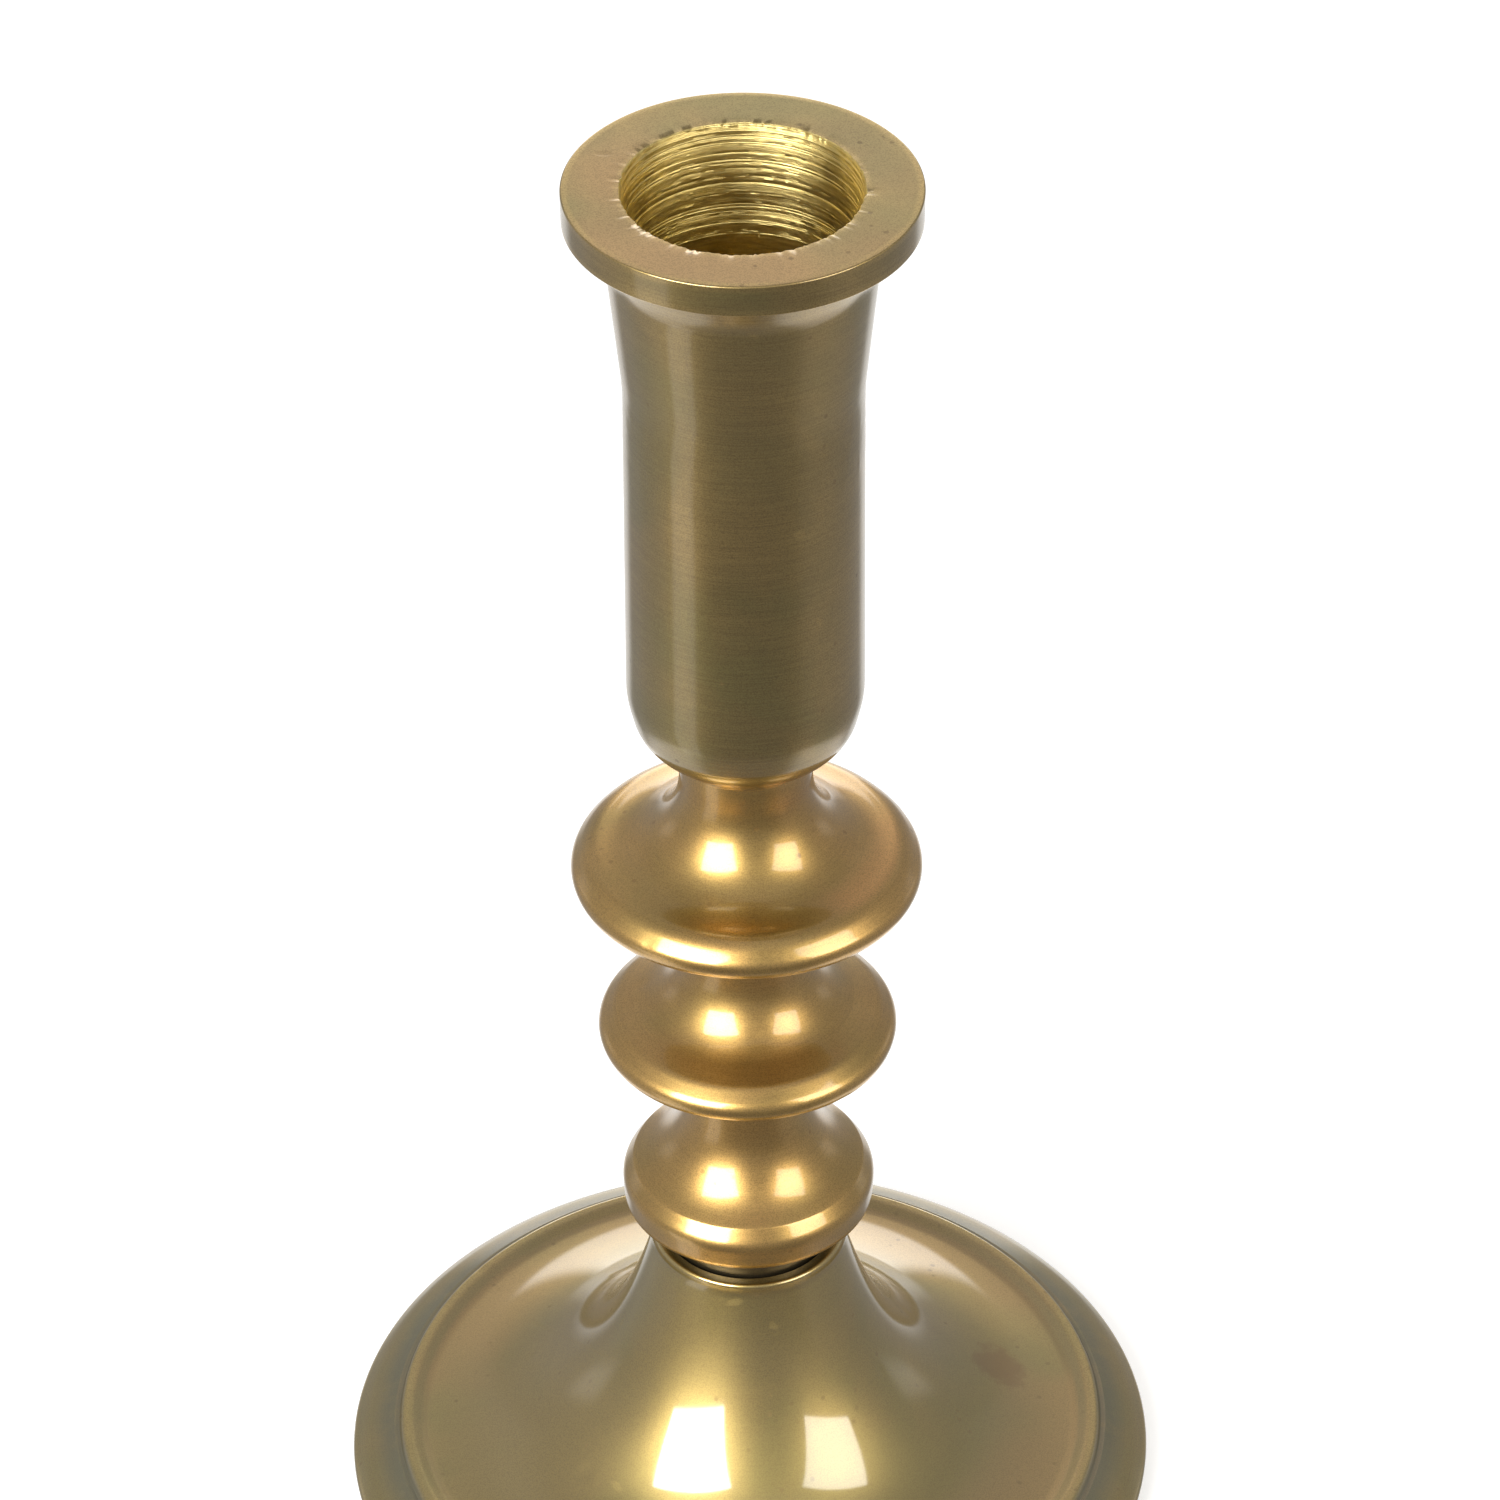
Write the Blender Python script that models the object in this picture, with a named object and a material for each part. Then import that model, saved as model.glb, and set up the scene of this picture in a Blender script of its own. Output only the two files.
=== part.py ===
"""Altar candlestick: a brass candle socket and three turned knops held on a hollow foot by a tie rod.

The stem is a column of separately turned pieces, each located by a short spigot in the piece it
meets. A steel tie rod screws up into the solid lower half of the socket and runs down through the
knops and the web of the foot. A plain washer, a spring washer and a hex nut inside the hollow foot
draw the column tight. A felt ring under the foot is what the candlestick stands on.

Metres, +Z up. The origin is the centre of the felt ring's flat underside.
Outlines are lists of (radius, height) or (radius, height, corner rounding).
"""

import math
from collections import namedtuple

import bmesh
import bpy
from mathutils import Matrix, Vector
from mathutils.geometry import interpolate_bezier

MM = 0.001
TURN = 2 * math.pi

# Driving dimensions
OVERALL_HEIGHT = 158.75 * MM
CANDLE_RADIUS = 22.2 * MM / 2
ROD_RADIUS = 3.0 * MM

# Clearances
GAP = 0.3 * MM
CANDLE_CLEARANCE = 0.33 * MM
ROD_CLEARANCE = 0.4 * MM

# Fineness of the turned solids
SEGMENTS = 40
FASTENER_SEGMENTS = 24
ARC_STEP = math.radians(28)
FOOT_CURVE_POINTS = 10
SHARP_ANGLE = math.radians(32)
AXIS_WELD = 0.001 * MM

# Socket: a flat drip flange on a flared cup with a tapered candle bore
FLANGE_RADIUS = 17.0 * MM
FLANGE_LOWER_RADIUS = 16.95 * MM
FLANGE_THICKNESS = 3.3 * MM
FLANGE_EDGE_ROUND = 0.25 * MM
FLANGE_LOWER_EDGE_ROUND = 0.15 * MM
FLARE_RADIUS = 14.8 * MM
FLARE_KNEE_RADIUS = 13.0 * MM
FLARE_KNEE_DROP = 4.2 * MM
FLARE_KNEE_ROUND = 5.0 * MM
CUP_WAIST_RADIUS = 11.55 * MM
CUP_WAIST_DROP = 18.6 * MM
CUP_WAIST_ROUND = 30.0 * MM
CUP_RADIUS = 11.7 * MM
CUP_SHOULDER_RISE = 7.2 * MM
CUP_SHOULDER_ROUND = 10.0 * MM
CUP_HEEL_RADIUS = 10.8 * MM
CUP_HEEL_RISE = 3.3 * MM
CUP_HEEL_ROUND = 5.0 * MM
CUP_SEAT_RADIUS = 7.3 * MM
BORE_RADIUS = CANDLE_RADIUS + CANDLE_CLEARANCE
BORE_SEAT_RADIUS = 10.3 * MM
BORE_FLOOR_RADIUS = 10.0 * MM
BORE_SEAT_DEPTH = 12.0 * MM
BORE_DEPTH = 30.0 * MM
ROD_HOLE_DEPTH = 16.0 * MM

# Heights of the seats between the stacked pieces, from the floor
SOCKET_SEAT = 93.95 * MM
UPPER_SEAT = 71.65 * MM
MIDDLE_SEAT = 53.9 * MM
BALL_SEAT = 33.6 * MM

# Locating spigots on top of the knops
SPIGOT_RADIUS = 5.0 * MM
SPIGOT_HEIGHT = 1.2 * MM

# Joint between the ball knop and the foot
FOOT_NECK_TOP = 31.95 * MM
FOOT_RECESS_RADIUS = 8.75 * MM
FOOT_RECESS_DEPTH = 1.6 * MM

# Foot
FOOT_NECK_RADIUS = 10.0 * MM
FOOT_NECK_ROUND = 0.9 * MM
FOOT_RADIUS = 42.6 * MM
FOOT_WALL = 2.4 * MM
FOOT_UNDERSIDE = 1.5 * MM
FOOT_WEB_THICKNESS = 8.0 * MM
FOOT_WEB_RADIUS = 10.0 * MM
FOOT_LAND_RADIUS = 33.6 * MM
TRUMPET_TOP = 30.75 * MM
TRUMPET_LEAN = math.radians(14.5)
TRUMPET_TOP_PULL = 14.0 * MM
DISH_RADIUS = 34.5 * MM
DISH_HEIGHT = 5.85 * MM
DISH_SLOPE = math.radians(3)
DISH_PULL = 15.3 * MM
RIDGE_RADIUS = 36.9 * MM
RIDGE_WIDTH = 0.9 * MM
RIDGE_HEIGHT = 6.35 * MM
RIDGE_INNER_ROUND = 0.8 * MM
RIDGE_OUTER_ROUND = 0.35 * MM
GROOVE_INNER_RADIUS = 37.3 * MM
GROOVE_OUTER_RADIUS = 37.8 * MM
GROOVE_HEIGHT = 5.6 * MM
BAND_KNEE_RADIUS = 40.8 * MM
BAND_KNEE_HEIGHT = 4.1 * MM
BAND_KNEE_ROUND = 5.0 * MM
RIM_CORNER_RADIUS = FOOT_RADIUS + 0.3 * MM
RIM_CORNER_HEIGHT = 2.25 * MM
RIM_CORNER_ROUND = 0.9 * MM
RIM_TUCK_RADIUS = 41.6 * MM

# Fasteners inside the foot
ROD_BOTTOM = 9.6 * MM
WASHER_RADIUS = 9.0 * MM
WASHER_THICKNESS = 1.2 * MM
SPRING_WASHER_RADIUS = 5.4 * MM
SPRING_WASHER_THICKNESS = 1.5 * MM
SPRING_WASHER_SPLIT = math.radians(12)
NUT_ACROSS_FLATS = 10.0 * MM
NUT_THICKNESS = 5.0 * MM
NUT_CHAMFER_WIDTH = 0.2 * MM
NUT_CHAMFER_HEIGHT = 0.9 * MM
ROD_CHAMFER = 0.6 * MM
WASHER_EDGE_ROUND = 0.2 * MM

# Felt ring
FELT_OUTER_RADIUS = 40.6 * MM
FELT_INNER_RADIUS = 34.2 * MM
FELT_THICKNESS = FOOT_UNDERSIDE - GAP
FELT_EDGE_ROUND = 0.3 * MM

# One turned knop, from the top down: the seat above it, the corner that its concave neck rounds off,
# the crease where the sweep of the neck ends, the two corners of its edge, its collar and its seat
Knop = namedtuple("Knop", "name top neck crease edge edge_underside collar_radius seat")


def clear_scene():
    for item in list(bpy.data.objects):
        bpy.data.objects.remove(item, do_unlink=True)


def metal(name, colour, roughness, metallic=1.0):
    material = bpy.data.materials.new(name)
    material.use_nodes = True
    shader = material.node_tree.nodes["Principled BSDF"]
    shader.inputs["Base Color"].default_value = (*colour, 1.0)
    shader.inputs["Roughness"].default_value = roughness
    shader.inputs["Metallic"].default_value = metallic
    return material


def rounded_corner(before, corner, after, radius):
    """Points of the arc that rounds a corner of an outline, tangent to both of its sides."""
    to_before = (before - corner).normalized()
    to_after = (after - corner).normalized()
    half_angle = to_before.angle(to_after) / 2
    reach = radius / math.tan(half_angle)
    centre = corner + (to_before + to_after).normalized() * radius / math.sin(half_angle)
    start = corner + to_before * reach - centre
    end = corner + to_after * reach - centre
    sweep = start.angle_signed(end)
    steps = max(2, math.ceil(abs(sweep) / ARC_STEP))
    arc = []
    for step in range(steps + 1):
        turned = start.copy()
        turned.rotate(Matrix.Rotation(-sweep * step / steps, 2))
        arc.append(centre + turned)
    return arc


def rounded_outline(points):
    """A closed outline in which each point with a third value is rounded by that radius."""
    outline = []
    for index, point in enumerate(points):
        corner = Vector(point[:2])
        if len(point) == 2:
            outline.append(corner)
            continue
        before = Vector(points[index - 1][:2])
        after = Vector(points[(index + 1) % len(points)][:2])
        outline.extend(rounded_corner(before, corner, after, point[2]))
    return outline


def finish_mesh(name, mesh_data, material):
    bmesh.ops.recalc_face_normals(mesh_data, faces=mesh_data.faces)
    mesh = bpy.data.meshes.new(name)
    mesh_data.to_mesh(mesh)
    mesh_data.free()
    mesh.materials.append(material)
    mesh.shade_smooth()
    mesh.set_sharp_from_angle(angle=SHARP_ANGLE)
    piece = bpy.data.objects.new(name, mesh)
    bpy.context.collection.objects.link(piece)
    return piece


def lathe(name, points, material, segments=SEGMENTS):
    """A solid of revolution about +Z from the closed outline of one side of its section.

    A side of the outline that lies on the axis is left out, and its two ends become poles.
    """
    turned = bmesh.new()
    section = [turned.verts.new((point.x, 0, point.y)) for point in rounded_outline(points)]
    sides = zip(section, section[1:] + section[:1])
    edges = [turned.edges.new((a, b)) for a, b in sides if max(a.co.x, b.co.x) > 0]
    bmesh.ops.spin(
        turned,
        geom=section + edges,
        cent=(0, 0, 0),
        axis=(0, 0, 1),
        angle=TURN,
        steps=segments,
        use_merge=True,
    )
    bmesh.ops.remove_doubles(turned, verts=turned.verts, dist=AXIS_WELD)
    return finish_mesh(name, turned, material)


def keep_common(piece, tool):
    """Cuts a piece down to what it shares with a tool, which is itself hidden."""
    modifier = piece.modifiers.new("Common", "BOOLEAN")
    modifier.operation = "INTERSECT"
    modifier.solver = "EXACT"
    modifier.object = tool
    tool.hide_render = True
    tool.display_type = "WIRE"


def candle_socket(brass):
    """Flange, flared cup and tapered candle bore, with a blind hole for the rod from below."""
    flange_underside = OVERALL_HEIGHT - FLANGE_THICKNESS
    rod_hole = ROD_RADIUS + GAP
    spigot_recess = SPIGOT_RADIUS + GAP
    recess_roof = SOCKET_SEAT + SPIGOT_HEIGHT + GAP
    points = [
        (BORE_RADIUS, OVERALL_HEIGHT),
        (FLANGE_RADIUS, OVERALL_HEIGHT, FLANGE_EDGE_ROUND),
        (FLANGE_LOWER_RADIUS, flange_underside, FLANGE_LOWER_EDGE_ROUND),
        (FLARE_RADIUS, flange_underside),
        (FLARE_KNEE_RADIUS, flange_underside - FLARE_KNEE_DROP, FLARE_KNEE_ROUND),
        (CUP_WAIST_RADIUS, flange_underside - CUP_WAIST_DROP, CUP_WAIST_ROUND),
        (CUP_RADIUS, SOCKET_SEAT + CUP_SHOULDER_RISE, CUP_SHOULDER_ROUND),
        (CUP_HEEL_RADIUS, SOCKET_SEAT + CUP_HEEL_RISE, CUP_HEEL_ROUND),
        (CUP_SEAT_RADIUS, SOCKET_SEAT),
        (spigot_recess, SOCKET_SEAT),
        (spigot_recess, recess_roof),
        (rod_hole, recess_roof),
        (rod_hole, recess_roof + ROD_HOLE_DEPTH),
        (0, recess_roof + ROD_HOLE_DEPTH),
        (0, OVERALL_HEIGHT - BORE_DEPTH),
        (BORE_FLOOR_RADIUS, OVERALL_HEIGHT - BORE_DEPTH),
        (BORE_SEAT_RADIUS, OVERALL_HEIGHT - BORE_SEAT_DEPTH),
    ]
    lathe("candle_socket", points, brass)


def knop(shape, bottom, brass):
    """A turned knop with a concave neck, a round edge and a spigot on top; bottom is its joint below."""
    rod_hole = ROD_RADIUS + ROD_CLEARANCE
    neck_radius = shape.neck[0]
    neck_top = shape.top - GAP
    points = [
        (shape.collar_radius, shape.seat),
        *bottom,
        (rod_hole, neck_top + SPIGOT_HEIGHT),
        (SPIGOT_RADIUS, neck_top + SPIGOT_HEIGHT),
        (SPIGOT_RADIUS, neck_top),
        (neck_radius, neck_top),
        shape.neck,
        shape.crease,
        shape.edge,
        shape.edge_underside,
    ]
    lathe(shape.name, points, brass)


def spigot_recess(seat):
    """The counterbore under a knop that takes the spigot of the piece below."""
    rod_hole = ROD_RADIUS + ROD_CLEARANCE
    recess = SPIGOT_RADIUS + GAP
    roof = seat + SPIGOT_HEIGHT + GAP
    return [(recess, seat), (recess, roof), (rod_hole, roof)]


def foot_spigot():
    """The plain spigot under the ball knop, seen as a dark ring above the neck of the foot."""
    rod_hole = ROD_RADIUS + ROD_CLEARANCE
    radius = FOOT_RECESS_RADIUS - GAP
    end = FOOT_NECK_TOP - FOOT_RECESS_DEPTH + GAP
    return [(radius, BALL_SEAT), (radius, end), (rod_hole, end)]


def millimetres(*values):
    return tuple(value * MM for value in values)


def knops(brass):
    """Two disc knops and a thicker, rounder one below them, each with a concave top and a soft crease."""
    upper = Knop(
        "upper_knop",
        top=SOCKET_SEAT,
        neck=millimetres(6.65, 83.05, 8.5),
        crease=millimetres(15.7, 82.05),
        edge=millimetres(18.0, 79.85, 1.5),
        edge_underside=millimetres(17.25, 78.5, 0.8),
        collar_radius=8.0 * MM,
        seat=UPPER_SEAT,
    )
    middle = Knop(
        "middle_knop",
        top=UPPER_SEAT,
        neck=millimetres(6.75, 64.15, 7.1),
        crease=millimetres(13.3, 61.3),
        edge=millimetres(15.35, 60.0, 1.2),
        edge_underside=millimetres(15.0, 58.45, 0.8),
        collar_radius=7.45 * MM,
        seat=MIDDLE_SEAT,
    )
    ball = Knop(
        "ball_knop",
        top=MIDDLE_SEAT,
        neck=millimetres(6.75, 44.75, 9.2),
        crease=millimetres(10.85, 42.0),
        edge=millimetres(12.95, 40.0, 5.0),
        edge_underside=millimetres(12.9, 36.9, 0.9),
        collar_radius=8.9 * MM,
        seat=BALL_SEAT,
    )
    knop(upper, spigot_recess(UPPER_SEAT), brass)
    knop(middle, spigot_recess(MIDDLE_SEAT), brass)
    knop(ball, foot_spigot(), brass)


def trumpet_curve():
    """The outer curve of the foot, from the steep neck down to the nearly flat dish."""
    top = Vector((FOOT_NECK_RADIUS, TRUMPET_TOP))
    end = Vector((DISH_RADIUS, DISH_HEIGHT))
    top_pull = Vector((math.sin(TRUMPET_LEAN), -math.cos(TRUMPET_LEAN))) * TRUMPET_TOP_PULL
    end_pull = Vector((-math.cos(DISH_SLOPE), math.sin(DISH_SLOPE))) * DISH_PULL
    curve = interpolate_bezier(top, top + top_pull, end + end_pull, end, FOOT_CURVE_POINTS)
    return [tuple(point[:2]) for point in curve]


def hollow_curve(web_underside):
    """The inner curve of the foot: the trumpet curve moved inwards by the wall thickness."""
    outer = [Vector(point) for point in trumpet_curve()]
    inner = []
    for before, point, after in zip(outer, outer[1:], outer[2:]):
        along = (after - before).normalized()
        inset = point + Vector((along.y, -along.x)) * FOOT_WALL
        if FOOT_WEB_RADIUS < inset.x < FOOT_LAND_RADIUS and inset.y < web_underside:
            inner.append(tuple(inset))
    return inner[::-1]


def base_foot(brass):
    """Hollow trumpet foot with a web for the rod, a ridge and groove, and a rounded rim."""
    rod_hole = ROD_RADIUS + ROD_CLEARANCE
    recess_floor = FOOT_NECK_TOP - FOOT_RECESS_DEPTH
    web_underside = recess_floor - FOOT_WEB_THICKNESS
    land_ceiling = DISH_HEIGHT - FOOT_WALL
    points = [
        (FOOT_RECESS_RADIUS, recess_floor),
        (FOOT_RECESS_RADIUS, FOOT_NECK_TOP),
        (FOOT_NECK_RADIUS, FOOT_NECK_TOP, FOOT_NECK_ROUND),
        *trumpet_curve(),
        (RIDGE_RADIUS - RIDGE_WIDTH, RIDGE_HEIGHT, RIDGE_INNER_ROUND),
        (RIDGE_RADIUS, RIDGE_HEIGHT, RIDGE_OUTER_ROUND),
        (GROOVE_INNER_RADIUS, GROOVE_HEIGHT),
        (GROOVE_OUTER_RADIUS, GROOVE_HEIGHT),
        (BAND_KNEE_RADIUS, BAND_KNEE_HEIGHT, BAND_KNEE_ROUND),
        (RIM_CORNER_RADIUS, RIM_CORNER_HEIGHT, RIM_CORNER_ROUND),
        (RIM_TUCK_RADIUS, FOOT_UNDERSIDE),
        (FOOT_LAND_RADIUS, FOOT_UNDERSIDE),
        (FOOT_LAND_RADIUS, land_ceiling),
        *hollow_curve(web_underside),
        (FOOT_WEB_RADIUS, web_underside),
        (rod_hole, web_underside),
        (rod_hole, recess_floor),
    ]
    lathe("base_foot", points, brass)
    return web_underside


def tie_rod(steel):
    """Rod at its thread's outer size, with chamfered ends, from below the nut up into the socket."""
    top = SOCKET_SEAT + SPIGOT_HEIGHT + ROD_HOLE_DEPTH
    points = [
        (0, ROD_BOTTOM),
        (ROD_RADIUS - ROD_CHAMFER, ROD_BOTTOM),
        (ROD_RADIUS, ROD_BOTTOM + ROD_CHAMFER),
        (ROD_RADIUS, top - ROD_CHAMFER),
        (ROD_RADIUS - ROD_CHAMFER, top),
        (0, top),
    ]
    lathe("tie_rod", points, steel, FASTENER_SEGMENTS)


def plain_washer(top, steel):
    hole = ROD_RADIUS + ROD_CLEARANCE
    bottom = top - WASHER_THICKNESS
    points = [
        (hole, bottom),
        (WASHER_RADIUS, bottom, WASHER_EDGE_ROUND),
        (WASHER_RADIUS, top, WASHER_EDGE_ROUND),
        (hole, top),
    ]
    lathe("plain_washer", points, steel, FASTENER_SEGMENTS)
    return bottom


def spring_washer(top, steel):
    """A split ring of square section whose ends stand slightly apart."""
    bottom = top - SPRING_WASHER_THICKNESS
    inner = ROD_RADIUS + ROD_CLEARANCE
    outer = SPRING_WASHER_RADIUS
    ring = bmesh.new()
    sections = []
    for step in range(FASTENER_SEGMENTS + 1):
        angle = SPRING_WASHER_SPLIT / 2 + (TURN - SPRING_WASHER_SPLIT) * step / FASTENER_SEGMENTS
        direction = Vector((math.cos(angle), math.sin(angle), 0))
        corners = ((inner, bottom), (outer, bottom), (outer, top), (inner, top))
        sections.append([ring.verts.new(direction * r + Vector((0, 0, z))) for r, z in corners])
    for here, ahead in zip(sections, sections[1:]):
        for side in range(4):
            following = (side + 1) % 4
            ring.faces.new((here[side], here[following], ahead[following], ahead[side]))
    ring.faces.new(sections[0])
    ring.faces.new(sections[-1])
    finish_mesh("spring_washer", ring, steel)
    return bottom


def hex_nut(top, steel):
    """A hexagon with a clear bore, its corners chamfered by the common part with a turned blank."""
    bottom = top - NUT_THICKNESS
    corner_radius = NUT_ACROSS_FLATS / 2 / math.cos(TURN / 12)
    hexagon = bmesh.new()
    bmesh.ops.create_cone(
        hexagon,
        cap_ends=True,
        segments=6,
        radius1=corner_radius,
        radius2=corner_radius,
        depth=NUT_THICKNESS,
        matrix=Matrix.Translation((0, 0, (top + bottom) / 2)),
    )
    nut = finish_mesh("hex_nut", hexagon, steel)
    bore = ROD_RADIUS + GAP
    face_radius = NUT_ACROSS_FLATS / 2 - NUT_CHAMFER_WIDTH
    outer_radius = corner_radius + NUT_CHAMFER_WIDTH
    blank = [
        (bore, bottom),
        (face_radius, bottom),
        (outer_radius, bottom + NUT_CHAMFER_HEIGHT),
        (outer_radius, top - NUT_CHAMFER_HEIGHT),
        (face_radius, top),
        (bore, top),
    ]
    keep_common(nut, lathe("nut_blank", blank, steel, FASTENER_SEGMENTS))


def felt_ring(felt):
    points = [
        (FELT_INNER_RADIUS, 0),
        (FELT_OUTER_RADIUS, 0, FELT_EDGE_ROUND),
        (FELT_OUTER_RADIUS, FELT_THICKNESS, FELT_EDGE_ROUND),
        (FELT_INNER_RADIUS, FELT_THICKNESS),
    ]
    lathe("felt_ring", points, felt)


def main():
    clear_scene()
    socket_brass = metal("antique_brass_socket", (0.30, 0.22, 0.11), 0.34)
    stem_brass = metal("antique_brass_stem", (0.36, 0.25, 0.11), 0.30)
    foot_brass = metal("antique_brass_foot", (0.38, 0.29, 0.12), 0.25)
    steel = metal("zinc_plated_steel", (0.52, 0.52, 0.50), 0.40)
    felt = metal("dark_green_felt", (0.02, 0.05, 0.03), 0.95, metallic=0.0)
    candle_socket(socket_brass)
    knops(stem_brass)
    web_underside = base_foot(foot_brass)
    tie_rod(steel)
    washer_bottom = plain_washer(web_underside - GAP, steel)
    spring_bottom = spring_washer(washer_bottom - GAP, steel)
    hex_nut(spring_bottom - GAP, steel)
    felt_ring(felt)


main()
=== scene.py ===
"""Looks of the altar candlestick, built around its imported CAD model.

Every visible piece is turned or built again here at full smoothness, on the same sizes as its CAD
node, with the hand finishing, tool marks, nicks and antiqued surface of the real thing.

Outlines are lists of (radius, height) or (radius, height, corner rounding) in millimetres, with
heights above the lowest face of the piece's CAD node, or above the underside of a knop's collar.
"""

import math
import random
from collections import namedtuple

import bmesh
import bpy
import numpy as np
from mathutils import Matrix, Vector, noise
from mathutils.geometry import interpolate_bezier

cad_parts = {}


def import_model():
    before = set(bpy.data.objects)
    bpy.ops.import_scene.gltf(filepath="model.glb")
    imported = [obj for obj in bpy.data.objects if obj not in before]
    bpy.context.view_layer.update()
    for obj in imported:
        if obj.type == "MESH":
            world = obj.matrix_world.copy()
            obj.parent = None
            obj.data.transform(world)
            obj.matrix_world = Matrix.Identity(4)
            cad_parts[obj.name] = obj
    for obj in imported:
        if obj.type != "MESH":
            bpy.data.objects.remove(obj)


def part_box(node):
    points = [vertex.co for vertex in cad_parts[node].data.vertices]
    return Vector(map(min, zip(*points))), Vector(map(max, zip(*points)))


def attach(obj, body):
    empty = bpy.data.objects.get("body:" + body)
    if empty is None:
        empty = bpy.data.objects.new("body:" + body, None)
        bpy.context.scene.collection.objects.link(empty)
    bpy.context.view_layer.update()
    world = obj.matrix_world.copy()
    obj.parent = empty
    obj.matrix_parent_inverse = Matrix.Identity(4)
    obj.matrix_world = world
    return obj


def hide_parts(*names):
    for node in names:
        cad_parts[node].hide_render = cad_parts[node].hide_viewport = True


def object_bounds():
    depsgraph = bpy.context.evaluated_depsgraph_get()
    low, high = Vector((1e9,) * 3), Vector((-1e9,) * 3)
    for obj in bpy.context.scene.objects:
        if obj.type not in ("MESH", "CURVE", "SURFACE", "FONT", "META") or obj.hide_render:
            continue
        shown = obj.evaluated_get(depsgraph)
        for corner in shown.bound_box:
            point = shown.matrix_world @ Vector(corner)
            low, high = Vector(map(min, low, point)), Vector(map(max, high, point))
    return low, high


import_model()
cad_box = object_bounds()

MM = 0.001
TURN = 2 * math.pi

# Fineness of the turned pieces
ARC_STEP = math.radians(5)
SEGMENTS = 240
SHARP_ANGLE = math.radians(40)
AXIS_WELD = 0.001  # mm within which a point lies on the axis
SEAM = 0.04  # mm left open where two pieces of the stem meet

# Camera, fitted to the candlestick's round edges
CAMERA_LENS = 161.2
CAMERA_SENSOR = 36.0
CAMERA_PITCH = math.radians(36.92)
CAMERA_ROLL = math.radians(-0.32)
CAMERA_DISTANCE = 0.66225
CAMERA_AIM_HEIGHT = 0.09347
CAMERA_SIDE = 0.0004


# ---------------------------------------------------------------- turned shapes


def rounded_corner(before, corner, after, radius):
    """Points of the arc that rounds a corner of an outline, tangent to both of its sides."""
    to_before = (before - corner).normalized()
    to_after = (after - corner).normalized()
    half_angle = to_before.angle(to_after) / 2
    reach = radius / math.tan(half_angle)
    centre = corner + (to_before + to_after).normalized() * radius / math.sin(half_angle)
    start = corner + to_before * reach - centre
    end = corner + to_after * reach - centre
    sweep = start.angle_signed(end)
    steps = max(3, math.ceil(abs(sweep) / ARC_STEP))
    arc = []
    for step in range(steps + 1):
        turned = start.copy()
        turned.rotate(Matrix.Rotation(-sweep * step / steps, 2))
        arc.append(centre + turned)
    return arc


def rounded_outline(points):
    """A closed outline in which each point with a third value is rounded by that radius."""
    outline = []
    for index, point in enumerate(points):
        corner = Vector(point[:2])
        if len(point) == 2:
            outline.append(corner)
            continue
        before = Vector(points[index - 1][:2])
        after = Vector(points[(index + 1) % len(points)][:2])
        outline.extend(rounded_corner(before, corner, after, point[2]))
    return outline


def divided(outline, longest):
    """The closed outline with its long sides split, so that no side off the axis is longer than a limit."""
    fine = []
    for here, ahead in zip(outline, outline[1:] + outline[:1]):
        parts = max(1, math.ceil((ahead - here).length / longest))
        if max(here.x, ahead.x) < AXIS_WELD:
            parts = 1
        fine.extend(tuple(here.lerp(ahead, part / parts)) for part in range(parts))
    return fine


def turns(outline):
    """The angle that the closed outline turns by at each point, positive to the left."""
    sides = outline - np.roll(outline, 1, axis=0)
    ahead = np.roll(sides, -1, axis=0)
    cross = sides[:, 0] * ahead[:, 1] - sides[:, 1] * ahead[:, 0]
    return np.arctan2(cross, (sides * ahead).sum(axis=1))


def outline_fields(outline, blur=0.5):
    """For each outline point: its distance along the outline in mm, how convex and how hollow it is."""
    lengths = np.linalg.norm(np.roll(outline, -1, axis=0) - outline, axis=1)
    track = np.cumsum(lengths) - lengths
    weights = np.exp(-(((track[:, None] - track) / blur) ** 2))
    bend = weights @ turns(outline)
    return {"track": track, "worn": np.clip(bend, 0, 1), "hollow": np.clip(-bend, 0, 1)}


def turned(name, points, floor, materials, segments=SEGMENTS, longest=0.8):
    """A turned piece about +Z, from its outline in mm above the height floor, with its finish fields."""
    outline = np.array(divided(rounded_outline(points), longest))
    if turns(outline).sum() < 0:
        outline = outline[::-1]
    angles = np.arange(segments) * TURN / segments
    on_axis = outline[:, 0] < AXIS_WELD
    rings, places, owners = [], [], []
    for index, (radius, height) in enumerate(outline):
        count = 1 if on_axis[index] else segments
        ring = np.arange(count) + len(owners)
        rings.append(np.resize(ring, segments))
        place_angles = angles[:count]
        level = np.full(count, floor + height * MM)
        flat = radius * MM * np.stack((np.cos(place_angles), np.sin(place_angles)), axis=1)
        places.append(np.column_stack((flat, level)))
        owners.extend([index] * count)
    faces = []
    for index, ring in enumerate(rings):
        ahead = (index + 1) % len(rings)
        if on_axis[index] and on_axis[ahead]:
            continue
        quads = np.stack((ring, np.roll(ring, -1), np.roll(rings[ahead], -1), rings[ahead]), axis=1)
        if on_axis[index]:
            quads = quads[:, 1:]
        if on_axis[ahead]:
            quads = quads[:, :3]
        faces.extend(quads.tolist())
    mesh = bpy.data.meshes.new(name)
    mesh.from_pydata(np.concatenate(places), [], faces)
    for field, values in outline_fields(outline).items():
        layer = mesh.attributes.new(field, "FLOAT", "POINT")
        layer.data.foreach_set("value", values[owners])
    for material in materials:
        mesh.materials.append(material)
    piece = bpy.data.objects.new(name, mesh)
    bpy.context.collection.objects.link(piece)
    return piece


def shade(piece, sharp=SHARP_ANGLE):
    piece.data.shade_smooth()
    piece.data.set_sharp_from_angle(angle=sharp)


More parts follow.
